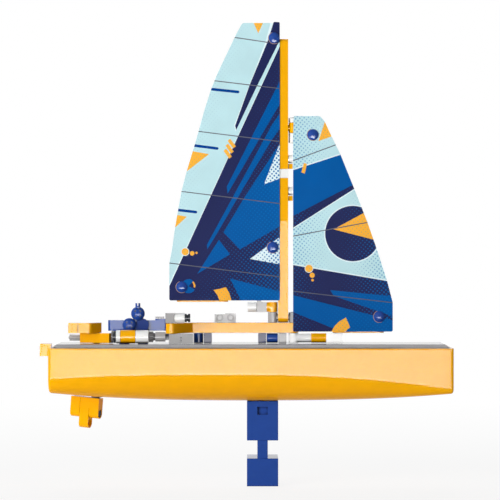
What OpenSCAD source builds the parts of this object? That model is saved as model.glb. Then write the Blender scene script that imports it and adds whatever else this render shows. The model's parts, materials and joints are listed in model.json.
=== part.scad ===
// A model sailing yacht built from pin-and-beam pieces: a moulded hull and deck,
// a three-piece keel, a beam chassis and mast, two film sails on booms that
// swing, a rudder with its tiller, and two hand knobs.
// +X points to the bow, +Z up. The origin is the middle of the keel's foot face.

/* [Building system] */
// Distance between neighbouring holes
pitch = 8; // [7.8:0.1:8.2]
// Width and thickness of a beam
beam = 7.8; // [7.4:0.1:7.8]
// Diameter of pins and axles
pin_d = 4.8; // [4.6:0.1:5]
// Radial clearance of a pin or axle in its hole
fit = 0.05; // [0.02:0.01:0.1]
// Diameter of the shallow recess around a hole
recess_d = 6.2; // [5.8:0.1:6.4]
// Depth of the shallow recess around a hole
recess_h = 0.8; // [0.6:0.1:1]
// Diameter of bushes and round connectors
tube_d = 7.4; // [7:0.1:7.6]

/* [Hull] */
// Length of the hull over the centre line
hull_l = 309; // [280:1:380]
// Width of the hull amidships
hull_w = 80; // [72:1:100]
// Width of the hull at the bow and the transom
hull_end_w = 74; // [66:1:80]
// Depth of the hull amidships, from the gunwale to the bottom
hull_h = 40.6; // [36:0.2:52]
// How far the bottom rises towards the ends
rocker = 6.2; // [3:0.2:9]
// Thickness of the hull's wall
hull_wall = 1.8; // [1.4:0.1:2.6]
// Distance from the keel's middle back to the hull's middle
hull_set_back = 9; // [4:0.25:14]

/* [Deck] */
// Thickness of the deck plate
deck_h = 2; // [1.6:0.1:3]
// Height of the raised pad along the middle of the deck
pad_h = 2.8; // [1:0.1:3.4]
// Width of the raised pad
pad_w = 52; // [48:1:60]

/* [Keel] */
// Length of the keel's blocks, fore and aft
keel_l = 24; // [20:1:30]
// Width of the keel's blocks, athwart
keel_w = 40; // [32:1:48]
// Height of the keel's foot
foot_h = 21.4; // [18:0.2:26]
// Height of the narrow stem between the keel's blocks
stem_h = 13.8; // [10:0.2:18]
// Height of the keel's upper block
upper_h = 30.2; // [24:0.2:36]

/* [Rig] */
// Height of the mast's lower part
mast_low_h = 111.8; // [104:0.1:120]
// Height of the joint block between the mast's parts
splice_h = 7; // [5:0.1:9]
// Height of the mast's upper part
mast_top_h = 101; // [90:0.5:110]
// Thickness of the sail film
film = 0.4; // [0.3:0.05:0.6]
// Length of the mainsail's foot
main_foot = 85.5; // [75:0.5:96]
// Length of the jib's foot
jib_foot = 77.1; // [70:0.1:90]
// Diameter of the round heads that hold the sails
head_d = 8.6; // [8:0.1:9.4]

/* [Steering] */
// Angle that the rudder is turned to at rest
helm = 21; // [0:1:30]
// Angle that the rudder's blades lean aft
rake = 4.5; // [0:0.5:7]
// Distance from the keel's middle back to the rudder's stock
stock_back = 128.6; // [120:0.2:136]

/* [Hidden] */

$fn = 48;
eps = 0.01;
low_h = 2 * beam - pitch;
dome_r = 6;
head_h = 2.4;
hole_d = pin_d + 2 * fit;
gap = pitch - beam;
skin = 0.1;

keel_top = foot_h + stem_h + upper_h;
bottom_z = keel_top + 0.4;
gunwale_z = bottom_z + hull_h;
deck_z = gunwale_z + pad_h;
hull_x = -hull_set_back;

// Heights of the middle of each layer of pieces on the deck
function layer(i) = deck_z + pitch * (i + 0.5);
row_a = layer(0);
row_b = layer(1);
row_c = layer(2);
row_d = layer(3);
row_e = layer(4);
row_f = layer(5);

main_x = pitch;
mast_x = 2 * pitch;
jib_x = 3 * pitch;
mast_z = row_c;
splice_z = row_c - beam / 2 + mast_low_h;
upper_z = splice_z + splice_h;
mast_top_z = upper_z + mast_top_h;
low_holes = floor((mast_low_h - beam - 6) / pitch) + 1;
top_holes = floor((mast_top_h - beam - 5) / pitch) + 1;
bracket_holes = 8;
top_end = 1.2;
top_hole_z = mast_top_z - top_end - beam / 2;
stock_x = -stock_back;

orange = [0.98, 0.69, 0.0];
blue = [0.12, 0.25, 0.6];
navy = [0.12, 0.14, 0.3];
light_grey = [0.75, 0.76, 0.78];
mid_grey = [0.6, 0.6, 0.62];
dark_grey = [0.25, 0.26, 0.28];
white = [0.93, 0.93, 0.92];

// ---------- Shapes that repeat ----------

// Hole with a shallow recess at both ends, along Z
module pin_hole(depth) {
  cylinder(d = hole_d, h = depth + 1, center = true);
  for (side = [-1, 1])
    translate([0, 0, side * (depth / 2 - recess_h / 2 + eps)])
      cylinder(d = recess_d, h = recess_h + 2 * eps, center = true);
}

// Straight beam along X with its holes along Z; the first hole is at the origin
module straight_beam(holes) {
  run = pitch * (holes - 1);
  difference() {
    linear_extrude(beam, center = true) {
      translate([0, -beam / 2]) square([run, beam]);
      circle(d = beam);
      translate([run, 0]) circle(d = beam);
    }
    for (i = [0 : holes - 1]) translate([pitch * i, 0, 0]) pin_hole(beam);
  }
}

// Cross-shaped axle along Z, from z = 0
module cross_axle(length, d = pin_d) {
  linear_extrude(length) intersection() {
    circle(d = d);
    union() {
      square([d, d * 0.38], center = true);
      square([d * 0.38, d], center = true);
    }
  }
}

// Round piece along Z with a domed top, from z = 0
module domed(d, h) {
  intersection() {
    cylinder(d = d, h = h);
    translate([0, 0, h - dome_r]) sphere(r = dome_r);
  }
}

// Round tube along Z, centred
module tube(length, outer = tube_d, inner = hole_d) {
  difference() {
    cylinder(d = outer, h = length, center = true);
    cylinder(d = inner, h = length + 1, center = true);
  }
}

// Turns a shape made along Z so that it lies along X
module along_x() { rotate([0, 90, 0]) children(); }

// Turns a shape made along Z so that it points to -Y
module along_y() { rotate([90, 0, 0]) children(); }

// Square block with one hole along Y
module block_y(size) {
  difference() {
    cube(size, center = true);
    along_y() pin_hole(size[1]);
  }
}

// Square block with one hole along X
module block_x(size) {
  difference() {
    cube(size, center = true);
    along_x() pin_hole(size[0]);
  }
}

// Round head on a shank, which enters a hole along Y from the -Y side.
// The origin is on the hole's axis in the film's plane.
module sail_head(reach) {
  along_y() {
    translate([0, 0, film / 2 + 0.05]) domed(head_d, head_h);
    translate([0, 0, -reach]) cylinder(d = pin_d, h = reach + film);
  }
}

// Upright connector: a round hub on a vertical axle, with a pin that enters the mast
module mast_connector(z, side) {
  translate([mast_x - side * pitch, 0, z]) {
    tube(beam);
    difference() {
      along_x() translate([0, 0, side > 0 ? 0 : -beam])
        cylinder(d = pin_d, h = beam);
      cylinder(d = hole_d, h = beam + 1, center = true);
    }
  }
}

// ---------- Hull and deck ----------

// Half width, bottom height and bilge radius at a place along the hull, -1 transom to 1 bow
function half_w(u) = (hull_end_w + (hull_w - hull_end_w) * (1 - pow(abs(u), 3))) / 2;
function low_z(u) = bottom_z + rocker * pow(abs(u), 2.6);
function bilge_r(u) = (u > 0 ? 22 - 19 * pow(u, 2.2) : 22 - 10.8 * pow(-u, 3)) * hull_h / 40.6;

// Cross-section points of the hull, shrunk by inset
function hull_section(u, inset) =
  let (w = half_w(u) - inset, z = low_z(u) + inset, r = max(bilge_r(u) - inset, 1),
       bow_side = [for (a = [0 : 15 : 90]) [w - r + r * cos(a), z + r - r * sin(a)]])
  concat([[w, gunwale_z + (inset > 0 ? 1 : 0)]], bow_side,
         [for (i = [len(bow_side) - 1 : -1 : 0]) [-bow_side[i][0], bow_side[i][1]]],
         [[-w, gunwale_z + (inset > 0 ? 1 : 0)]]);

// Places of the cross-sections, closer at the rounded ends
stations = [-1, -0.996, -0.987, -0.93, -0.8, -0.6, -0.4, -0.2, 0, 0.2, 0.4, 0.6, 0.8, 0.93, 0.987, 0.996, 1];
// The upright corners are rounded, so the last two sections at each end are a little narrower
function corner_in(u) = abs(u) > 0.999 ? 2 : abs(u) > 0.99 ? 0.6 : 0;

module hull_body(inset) {
  scale_x = (hull_l - 2 * inset) / hull_l;
  hull() for (u = stations)
    translate([hull_x + u * scale_x * (hull_l / 2 - eps), 0, 0])
      rotate([90, 0, 90]) linear_extrude(eps)
        polygon([for (p = hull_section(u, inset))
          [p[0] - sign(p[0]) * min(corner_in(u), abs(p[0]) / 2), p[1]]]);
}

// Tenon on top of the keel, which enters a slot in the hull's bottom
tenon = [pitch, 3 * pitch, 9];
slot_size = [tenon[0] + 2 * skin, tenon[1] + 2 * skin];
tube_wall = 1.6;
tube_r = hole_d / 2 + tube_wall;

module hull_shell() color(orange) difference() {
  hull_body(0);
  hull_body(hull_wall);
  translate([0, 0, bottom_z]) cube([slot_size[0], slot_size[1], 20], center = true);
  translate([stock_x, 0, bottom_z]) cylinder(r = tube_r + skin, h = 30, center = true);
  for (side = [-1, 1]) translate([transom_x, side * pitch / 2, transom_stud_z])
    along_x() cylinder(d = hole_d, h = 8, center = true);
}

transom_x = hull_x - hull_l / 2;
transom_stud_z = gunwale_z - 4.8;
transom_size = [8.3, 2 * beam + gap, 9.4];
// The raised pad reaches from end wall to end wall, and both its ends slope
pad_l = hull_l - 2 * (hull_wall + 0.5);
pad_slope = 3.6;

module deck() color(mid_grey) difference() {
  union() {
    intersection() {
      hull_body(hull_wall + 0.1);
      translate([hull_x, 0, gunwale_z - deck_h / 2]) cube([hull_l, hull_w, deck_h], center = true);
    }
    translate([hull_x, pad_w / 2, gunwale_z - eps]) rotate([90, 0, 0]) linear_extrude(pad_w)
      polygon([[-pad_l / 2, 0], [pad_l / 2, 0], [pad_l / 2 - pad_slope, pad_h], [pad_slope - pad_l / 2, pad_h]]);
  }
  translate([stock_x, 0, gunwale_z]) cylinder(r = tube_r + skin, h = 20, center = true);
}

// Block behind the transom, held by two studs that enter the transom's wall
module transom_block() color(orange) {
  translate([transom_x - gap - transom_size[0] / 2, 0, transom_stud_z + 2.6])
    cube(transom_size, center = true);
  for (side = [-1, 1]) translate([transom_x - 1, side * pitch / 2, transom_stud_z])
    along_x() cylinder(d = pin_d, h = 1 + hull_wall - gap);
}

// Tube that carries the rudder's stock through the hull, from the bottom to the deck
tube_foot = low_z((stock_x - hull_x) / (hull_l / 2)) - 1.8;
module rudder_tube() color(mid_grey)
  translate([stock_x, 0, (tube_foot + deck_z - 0.1) / 2])
    tube(deck_z - 0.1 - tube_foot, 2 * tube_r, hole_d);

// ---------- Keel ----------

dowel_d = 3;
socket_wall = 4;
socket_h = tenon[2] - 2;
socket_z = bottom_z + hull_wall + 0.2 + socket_h / 2;

// Places the dowels' axes, or the holes for them, across the tenon
module at_dowels() { for (side = [-1, 1]) translate([0, side * pitch, socket_z]) along_x() children(); }
module dowel_holes() at_dowels() cylinder(d = dowel_d + 2 * fit, h = 30, center = true);

module keel_socket() color(mid_grey) difference() {
  translate([0, 0, socket_z]) difference() {
    cube([tenon[0] + 2 * socket_wall, tenon[1] + 2 * socket_wall, socket_h], center = true);
    cube([slot_size[0], slot_size[1], socket_h + 2], center = true);
  }
  dowel_holes();
}

module keel_upper() color(blue) difference() {
  union() {
    translate([0, 0, keel_top - upper_h / 2]) cube([keel_l, keel_w, upper_h], center = true);
    translate([0, 0, keel_top + tenon[2] / 2 - eps]) cube([tenon[0], tenon[1], tenon[2]], center = true);
  }
  for (side = [-1, 1]) translate([0, side * keel_w / 2, keel_top - 7.4]) cube([pitch, 5, 6], center = true);
  dowel_holes();
  translate([0, 0, foot_h + stem_h]) stem_slot();
}

// The stem's tongue is thinner than the stem and enters the blocks above and below it
tongue = [pitch - 2, keel_w - 8, 6];
module stem_slot()
  cube([tongue[0] + 2 * skin, tongue[1] + 2 * skin, 2 * (tongue[2] + 0.2)], center = true);

module keel_stem() color(blue) translate([0, 0, foot_h + stem_h / 2]) {
  cube([pitch, keel_w, stem_h], center = true);
  cube([tongue[0], tongue[1], stem_h + 2 * tongue[2]], center = true);
}

// The foot holds the ballast in a closed space below the tongue
foot_wall = 2;
space = [keel_l - 2 * foot_wall, keel_w - 2 * foot_wall, foot_h - tongue[2] - 1 - foot_wall];
module keel_foot() color(blue) difference() {
  translate([0, 0, foot_h / 2]) cube([keel_l, keel_w, foot_h], center = true);
  translate([0, 0, foot_wall + space[2] / 2]) cube(space, center = true);
  translate([0, 0, foot_h]) stem_slot();
}

module keel_ballast() color(dark_grey) translate([0, 0, foot_wall + space[2] / 2])
  cube([space[0] - 0.3, space[1] - 0.3, space[2] - 0.3], center = true);

module keel_dowels() color(light_grey)
  at_dowels() cylinder(d = dowel_d, h = tenon[0] + 2 * socket_wall - 1, center = true);

// ---------- Chassis, mast and what stands on them ----------

// Beam with its aft end bent towards -Y
bend = 53.13;
straight_holes = 11;
arm_holes = 3;
bend_x = jib_x - pitch * (straight_holes - 1);
module chassis_beam() color(orange) difference() {
  translate([jib_x, 0, row_b]) rotate([0, 0, 180]) linear_extrude(beam, center = true) {
    translate([0, -beam / 2]) square([pitch * (straight_holes - 1), beam]);
    circle(d = beam);
    translate([pitch * (straight_holes - 1), 0]) circle(d = beam);
    translate([pitch * (straight_holes - 1), 0]) rotate(bend) {
      translate([0, -beam / 2]) square([pitch * arm_holes, beam]);
      translate([pitch * arm_holes, 0]) circle(d = beam);
    }
  }
  for (i = [0 : straight_holes - 1]) translate([jib_x - pitch * i, 0, row_b]) pin_hole(beam);
  for (i = [1 : arm_holes]) translate(arm_hole(i)) pin_hole(beam);
}
function arm_hole(i) = [bend_x - pitch * i * cos(bend), -pitch * i * sin(bend), row_b];

// Part of the mast along Z: a rounded end before the first hole and a square end with a socket.
// Its last hole, which takes a bush's pin, lies a little further on.
module mast_part(holes, length, end, last) {
  difference() {
    rotate([0, -90, 0]) linear_extrude(beam, center = true) {
      translate([-end, 0]) circle(d = beam);
      translate([-end, -beam / 2]) square([length - beam / 2, beam]);
    }
    for (i = [0 : holes - 2]) translate([0, 0, pitch * i]) along_x() pin_hole(beam);
    translate([0, 0, pitch * (holes - 1) + last]) along_x() pin_hole(beam);
    translate([0, 0, length - end - beam / 2 - 5.2]) cylinder(d = hole_d, h = 6);
  }
}

module mast_lower() color(orange)
  translate([mast_x, 0, mast_z]) mast_part(low_holes, mast_low_h, 0, low_stop_shift);

module mast_upper() color(orange)
  translate([mast_x, 0, top_hole_z]) rotate([180, 0, 0]) mast_part(top_holes, mast_top_h, top_end, 0);

module mast_splice() color(white) translate([mast_x, 0, splice_z]) union() {
  translate([0, 0, splice_h / 2]) cube([beam, beam, splice_h - 2 * skin], center = true);
  translate([0, 0, -5]) cylinder(d = pin_d, h = splice_h + 10);
}

module mast_connectors() color(light_grey) for (side = [-1, 1]) mast_connector(row_c, side);

// Bushes on pins in front of the mast, above and below its joint
top_stop_z = top_hole_z - pitch * (top_holes - 1);
low_stop_shift = 2;
low_stop_z = mast_z + pitch * (low_holes - 1) + low_stop_shift;
stop_l = 3.4;
module mast_stops() color(white) {
  for (z = [top_stop_z, low_stop_z]) translate([mast_x, 0, z]) along_x() {
    translate([0, 0, beam / 2 + skin]) cylinder(d = tube_d - 0.8, h = stop_l);
    translate([0, 0, -beam / 2 + 1]) cylinder(d = pin_d, h = beam);
  }
  translate([jib_x, 0, bracket_z + beam / 2 + gap + stop_l / 2]) tube(stop_l);
}

// Small square clips under the bushes
clip = [stop_l, 5, 4];
module mast_clips() color(orange) for (z = [top_stop_z, low_stop_z])
  translate([mast_x + beam / 2 + skin + clip[0] / 2, 0, z - tube_d / 2 - skin - clip[2] / 2])
    cube(clip, center = true);

// Upper pivot of the jib, in front of the mast
bracket_z = top_hole_z - pitch * bracket_holes;
arm_z = bracket_z - pitch + skin;
module jib_bracket() color(orange) mast_connector(bracket_z, -1);

// Axles: the main boom's, the jib's at its foot and at its head, and the one in the arm's bush
module fixed_axles() color(dark_grey) {
  translate([main_x, 0, row_b - beam / 2]) cross_axle(2 * pitch + beam);
  translate([jib_x, 0, row_a - low_h / 2 + 0.2]) cross_axle(2 * pitch + beam);
  translate([jib_x, 0, arm_z - beam / 2]) cross_axle(2 * pitch + 3.8);
  translate(arm_hole(arm_holes) + [arm_bush_x, 0, pitch]) along_x() {
    translate([0, 0, 0.6 - arm_block_size[0]]) cylinder(d = pin_d, h = arm_bush_l + arm_block_size[0] + 3);
    translate([0, 0, arm_bush_l + skin]) cylinder(d = tube_d - 1, h = 1.4);
    translate([0, 0, arm_bush_l + 2.4]) cylinder(d = tube_d - 1, h = 1.8);
  }
}

// Brackets behind the mast that hold the mainsail's front edge
head_top = [main_x + 1.1, mast_top_z + 0.3];
head_low = [main_x, mast_z + 7 * pitch - 1.8];
film_y = beam / 2 + 0.3 + film / 2;
module luff_bracket(hole_z, head) difference() {
  union() {
    translate([main_x, 0, (hole_z + head[1]) / 2])
      cube([beam, beam, beam + abs(head[1] - hole_z)], center = true);
    translate([main_x, 0, hole_z]) along_x() cylinder(d = pin_d, h = pitch - 0.2);
  }
  translate([head[0], 0, head[1]]) along_y() cylinder(d = hole_d, h = beam + 1, center = true);
}
module luff_brackets() color(light_grey) {
  luff_bracket(top_hole_z, head_top);
  luff_bracket(mast_z + 7 * pitch, head_low);
}
module luff_heads() color(blue)
  for (p = [head_top, head_low]) translate([p[0], -film_y, p[1]]) sail_head(film_y + 2);

// ---------- Small pieces on the chassis ----------

// Stepped block with two pins in recessed holes
twin_x = jib_x - 6.6 * pitch;
twin_l = 8.3;
twin_h = [6.2, 6.9];
module twin_hole_block() color(light_grey)
  translate([twin_x, 0, row_c - low_h / 2]) for (i = [0, 1]) {
    difference() {
      translate([(i - 1) * twin_l, -beam / 2, 0]) cube([twin_l, beam, twin_h[i]]);
      translate([(i - 0.5) * twin_l, 0, low_h / 2]) along_y()
        translate([0, 0, beam / 2 - recess_h]) cylinder(d = recess_d - 0.8, h = recess_h + 1);
    }
    translate([(i - 0.5) * twin_l, 0, low_h / 2]) along_y() cylinder(d = pin_d - 1.6, h = beam / 2 - 0.1);
  }

// Block on the arm's last hole, held by a stud, with a bush on a pin that points forward
arm_block_size = [6.6, beam, low_h];
arm_block_x = -0.8;
stud_l = 7;
module arm_block() color(mid_grey) translate(arm_hole(arm_holes)) {
  translate([arm_block_x, 0, pitch]) difference() {
    cube(arm_block_size, center = true);
    along_x() cylinder(d = hole_d, h = beam, center = true);
  }
  translate([0, 0, pitch - low_h / 2 - stud_l]) cylinder(d = pin_d, h = stud_l + eps);
}

arm_bush_l = pitch;
arm_bush_x = arm_block_x + arm_block_size[0] / 2 + gap;
module arm_tube() color(white)
  translate(arm_hole(arm_holes) + [arm_bush_x + arm_bush_l / 2, 0, pitch]) along_x() tube(arm_bush_l);

// ---------- Supports between the deck and the chassis ----------

// Each support is a little shorter than the pitch, to leave room for the next one
support_l = 6.2;
long_tube_l = 8.6;
module support_fore() color(light_grey)
  translate([mast_x - 0.6, 0, row_a]) block_x([support_l, beam, low_h]);
module support_blocks() color(navy) for (x = [-0.2, bend_x + 1.7 * pitch])
  translate([x, 0, row_a]) block_x([support_l, beam, low_h]);
// One tube lies along the boat and one stands upright
module support_tubes() color(blue) {
  translate([main_x - 0.4, 0, row_a]) along_x() tube(long_tube_l);
  translate([bend_x + 0.8 * pitch, 0, row_a]) tube(low_h);
}

// ---------- Shaft line on the deck ----------

shaft_y = -2 * pitch;
drum_d = 10.4;
shaft_z = deck_z + drum_d / 2 + 0.3;
drum_x = stock_x + 25.2;
drum_l = 11.5;
aft_spacer_l = 3.2;
fore_spacer_l = 9.8;
bevel_l = 4.8;
washer_l = 1.4;
flange_l = 1.8;
carrier_l = 9.1;
shaft_tube_l = 7.8;
bevel_x = drum_x + drum_l / 2 + fore_spacer_l + 2 * gap;
shaft_tube_x = bevel_x + bevel_l + gap + shaft_tube_l / 2;
carrier_x = shaft_tube_x + shaft_tube_l / 2 + 2.8 + carrier_l / 2;
flange_x = drum_x - drum_l / 2 - aft_spacer_l - 2 * gap - flange_l;
axle_x = flange_x - washer_l - gap;

// Two square blocks that carry the front end of the shaft, with two small holes at their joint
module sheet_blocks() color(mid_grey)
  for (i = [0, 1]) translate([carrier_x + i * (carrier_l + gap), shaft_y, row_a]) difference() {
    cube([carrier_l, beam, low_h], center = true);
    translate([0, 0, shaft_z - row_a]) along_x() cylinder(d = hole_d, h = carrier_l + 1, center = true);
    for (z = [-1.1, 1.1]) translate([carrier_l / 2 - i * carrier_l, 0, z])
      along_y() translate([0, 0, beam / 2 - 1.2]) cylinder(d = 1.3, h = 2);
  }

module shaft_tube() color(light_grey)
  translate([shaft_tube_x, shaft_y, shaft_z]) along_x() tube(shaft_tube_l);

// Toothed wheel in front of the drum, and a washer at the shaft's aft end
module shaft_bevel() color(mid_grey) {
  translate([bevel_x, shaft_y, shaft_z]) along_x() difference() {
    union() {
      cylinder(d1 = beam, d2 = beam - 2.4, h = bevel_l);
      for (a = [0 : 36 : 324]) rotate(a)
        translate([beam / 2 - 1, 0, 1.7]) cube([2.4, 1.1, 3.4], center = true);
    }
    translate([0, 0, -1]) cylinder(d = hole_d, h = bevel_l + 2);
  }
  translate([axle_x + washer_l / 2, shaft_y, shaft_z]) along_x() tube(washer_l, drum_d - 1);
}

module shaft_spacers() color(white) {
  translate([drum_x + (drum_l + fore_spacer_l) / 2 + gap, shaft_y, shaft_z])
    along_x() tube(fore_spacer_l, drum_d - 0.2);
  translate([drum_x - (drum_l + aft_spacer_l) / 2 - gap, shaft_y, shaft_z])
    along_x() tube(aft_spacer_l, drum_d - 0.2);
}

module shaft_drum() color(orange)
  translate([drum_x, shaft_y, shaft_z]) along_x() tube(drum_l, drum_d);

// Axle with a round flange near its aft end; it runs forward into the carrying blocks
module shaft_axle() color(dark_grey)
  translate([axle_x, shaft_y, shaft_z]) along_x() {
    cross_axle(carrier_x - axle_x + carrier_l / 2);
    translate([0, 0, flange_x - axle_x]) cylinder(d = drum_d - 1, h = flange_l);
  }

// Blue beam on two legs behind the shaft line, with a lug for the high knob and a raised end
deck_beam_l = 45.6;
deck_beam_h = 8.2;
deck_beam_x = stock_x + 31.9;
corner_r = 1.8;
leg_h = 9.6;
deck_beam_z = deck_z + skin + leg_h + deck_beam_h / 2;
knob_d = 10.6;
knob_y = 7;
low_knob = [deck_beam_x - 6.1, 0, deck_beam_z + 0.6];
roller_at = [deck_beam_x + 3.6, 0, deck_beam_z + 0.2];
high_knob = [deck_beam_x + 0.5, 0, deck_beam_z + 9.3];
step = [9.2, beam, 1];
step_at = [deck_beam_x + (deck_beam_l - step[0]) / 2, 0, deck_beam_z + deck_beam_h / 2];
// Block with upright edges that are rounded
module rounded_block(size) linear_extrude(size[2], center = true) {
  square([size[0] - 2 * corner_r, size[1]], center = true);
  square([size[0], size[1] - 2 * corner_r], center = true);
  for (x = [-1, 1], y = [-1, 1])
    translate([x * (size[0] / 2 - corner_r), y * (size[1] / 2 - corner_r)]) circle(corner_r);
}
module leg(x) translate([x, 0, deck_z + skin + leg_h / 2]) cube([beam, beam, leg_h + eps], center = true);
module deck_beam() color(blue) difference() {
  union() {
    translate([deck_beam_x, 0, deck_beam_z]) rounded_block([deck_beam_l, beam, deck_beam_h]);
    translate(step_at + [0, 0, step[2] / 2 - 1]) rounded_block(step + [0, 0, 2]);
    translate([high_knob[0], 0, high_knob[2] - 2]) cube([beam, beam, beam + 2], center = true);
    leg(drum_x - 3.6);
    leg(drum_x + 10.9);
  }
  for (p = [low_knob, roller_at, high_knob])
    translate(p) along_y() cylinder(d = hole_d, h = beam + 1, center = true);
}
cap = [6.9, 6, 1.6];
module deck_beam_cap() color(light_grey)
  translate(step_at + [cap[0] / 2 - step[0] / 2, 0, step[2] + skin + cap[2] / 2]) cube(cap, center = true);

// ---------- Hand knobs ----------

// Domed knob on a pin along Y; a cross stands in the round dish in its face
knob_l = 4;
dish_d = 6.4;
dish_h = 2.6;
pin_in = 3;
module knob() along_y() {
  difference() {
    translate([0, 0, knob_y]) domed(knob_d, knob_l);
    translate([0, 0, knob_y + knob_l - dish_h]) difference() {
      cylinder(d = dish_d, h = dish_h + 1);
      cross_axle(dish_h + 1, dish_d + 1);
    }
  }
  translate([0, 0, -pin_in]) cylinder(d = pin_d, h = pin_in + knob_y + eps);
}
module knob_low() color(blue) translate(low_knob) knob();

// The high knob has a short split handle on its rim
handle_d = 3.8;
handle_l = 4;
module knob_high() color(blue) translate(high_knob) {
  knob();
  translate([0, -knob_y - handle_d / 2, knob_d / 2 - 1.2]) difference() {
    cylinder(d = handle_d, h = handle_l);
    translate([0, 0, handle_l]) cube([0.9, handle_d + 1, 4], center = true);
  }
}

module fixed_roller() color(blue) translate(roller_at) along_y() {
  translate([0, 0, beam / 2 + skin]) cylinder(d = knob_d, h = 2.6);
  translate([0, 0, -pin_in]) cylinder(d = pin_d, h = beam);
}

// ---------- Rudder and tiller ----------

module at_stock(z) { translate([stock_x, 0, z]) rotate([0, 0, -helm]) children(); }

// The blades lean aft with the rise of the hull's bottom, and leave it room to turn
blade_top = tube_foot - 0.8;
module blade(holes) {
  translate([0, 0, -beam / 2]) mirror([0, 0, 1]) difference() {
    rotate([0, -90, 0]) linear_extrude(beam, center = true) {
      translate([-beam / 2, -beam / 2]) square([pitch * (holes - 1) + beam / 2, beam]);
      translate([pitch * (holes - 1), 0]) circle(d = beam);
    }
    for (i = [1 : holes - 1]) translate([0, 0, pitch * i]) along_x() pin_hole(beam);
  }
}

module rudder_stock() color(dark_grey) at_stock(blade_top - beam)
  cylinder(d = pin_d, h = row_a + beam / 2 - blade_top + beam + pitch);
module raked() { translate([beam / 2, 0, 0]) rotate([0, rake, 0]) translate([-beam / 2, 0, 0]) children(); }
module rudder_blades() color(orange) at_stock(blade_top) difference() {
  raked() {
    blade(2);
    translate([-pitch, 0, 0]) blade(3);
    translate([-pitch / 2, 0, -beam / 2]) cube([2, beam, beam], center = true);
    translate([-2 * pitch, 0, 0]) blade(2);
  }
  translate([0, 0, -beam - 1]) cylinder(d = hole_d, h = beam + 3);
}
module rudder_pin() color(dark_grey) at_stock(blade_top) raked() translate([0, 0, -pitch - beam / 2])
  translate([-2 * pitch - beam / 2 + 0.2, 0, 0]) along_x() cylinder(d = pin_d, h = 2 * pitch + beam - 0.4);

// Cross-piece on the stock just above the deck, with an axle that points aft
tiller_l = 24.8;
tiller_axle_l = 18;
tiller_axle_out = 10.4;
module tiller() color(orange) at_stock(row_a + skin) difference() {
  cube([tiller_l, beam, low_h], center = true);
  cylinder(d = hole_d, h = beam + 1, center = true);
  translate([-tiller_l / 2, 0, 0]) along_x() cylinder(d = hole_d, h = 16, center = true);
}
module tiller_axle() color(light_grey) at_stock(row_a + skin)
  translate([-tiller_l / 2 - tiller_axle_out, 0, 0]) along_x() cross_axle(tiller_axle_l);
// Bent lever on top of the stock: one arm towards the near side, then one straight aft
lever_arm = 10;
lever_tail = 15.2;
tail_joint = 7.6;
module tiller_block() color(orange) at_stock(row_b) rotate(helm) difference() {
  linear_extrude(beam, center = true) {
    circle(d = beam);
    rotate(180 + bend) translate([0, -beam / 2]) square([lever_arm, beam]);
    rotate(180 + bend) translate([lever_arm, 0]) rotate(-bend) {
      circle(d = beam);
      translate([0, -beam / 2]) square([lever_tail, beam]);
    }
  }
  cylinder(d = hole_d, h = beam + 1, center = true);
  translate([-lever_arm * cos(bend) - tail_joint, -lever_arm * sin(bend) - beam / 2, 0])
    cube([1.1, 1.4, beam + 1], center = true);
}

// ---------- Main boom and mainsail ----------

luff_x = main_x + 5.4;
sail_foot_z = row_e - beam / 2 + 1;
// The film that swings ends this far behind the axle, clear of the round heads
split_x = main_x - 7;
clew_x = luff_x - main_foot + 9.6;
main_h = head_top[1] - sail_foot_z + 12.3;
main_clew = [clew_x, row_f - 0.4];

// Front edge to back edge of the mainsail, from the foot up, as shares of its foot and height
leech = [[1, 0.01], [1, 0.136], [0.975, 0.187], [0.942, 0.268], [0.887, 0.392], [0.78, 0.556],
         [0.744, 0.608], [0.562, 0.818], [0.392, 0.958], [0.333, 1]];
module main_outline() {
  polygon(concat([[0, 0]], [for (p = leech) [-p[0] * main_foot, p[1] * main_h]], [[0, main_h]]));
}

module main_film(from_x, to_x) {
  translate([0, -film_y + film / 2, 0]) along_y() linear_extrude(film) intersection() {
    translate([luff_x, sail_foot_z]) main_outline();
    translate([from_x, 0]) square([to_x - from_x, 1000]);
  }
}

module main_luff_strip() color(navy) difference() {
  main_film(split_x + 0.4, luff_x + 1);
  for (p = [head_top, head_low])
    translate([p[0], -film_y, p[1]]) along_y() cylinder(d = hole_d, h = 2, center = true);
}
module main_sail() color(blue) difference() {
  main_film(-200, split_x);
  translate([main_clew[0], -film_y, main_clew[1]]) along_y() cylinder(d = hole_d, h = 2, center = true);
}

// Hub on the axle with a round arm that reaches aft
hub_arm = 4.9;
bush_l = 7;
module boom_hub() color(orange) translate([main_x, 0, row_d]) difference() {
  union() {
    cylinder(d = tube_d, h = low_h, center = true);
    along_x() translate([0, 0, -hub_arm]) cylinder(d = tube_d, h = hub_arm);
  }
  cylinder(d = hole_d, h = beam + 1, center = true);
}
// Stepped block that carries the boom one layer above its hub, with a bush and a rod behind it.
// Its upper part is shorter, so that it clears the film's fixed front edge.
riser_l = 7.4;
riser_top_l = 3.4;
boom_holes = 5;
riser_x = main_x - hub_arm - skin - riser_l;
boom_end_x = clew_x + pitch * (boom_holes - 1) + beam / 2;
boom_rod_l = riser_x - boom_end_x + 6.8;
module boom_riser() color(light_grey) translate([riser_x, 0, 0]) {
  translate([0, -beam / 2, row_d - low_h / 2]) cube([riser_l, beam, low_h]);
  translate([0, -beam / 2, row_d]) cube([riser_top_l, beam, pitch + low_h / 2]);
  translate([eps - bush_l, 0, row_d]) along_x() cylinder(d = pin_d, h = bush_l);
  translate([eps - boom_rod_l, 0, row_e]) along_x() cylinder(d = boom_rod_d, h = boom_rod_l);
}
module boom_bush() color(white) translate([riser_x - skin - bush_l / 2, 0, row_d]) along_x() tube(bush_l);
boom_rod_d = pin_d - 0.4;
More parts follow.
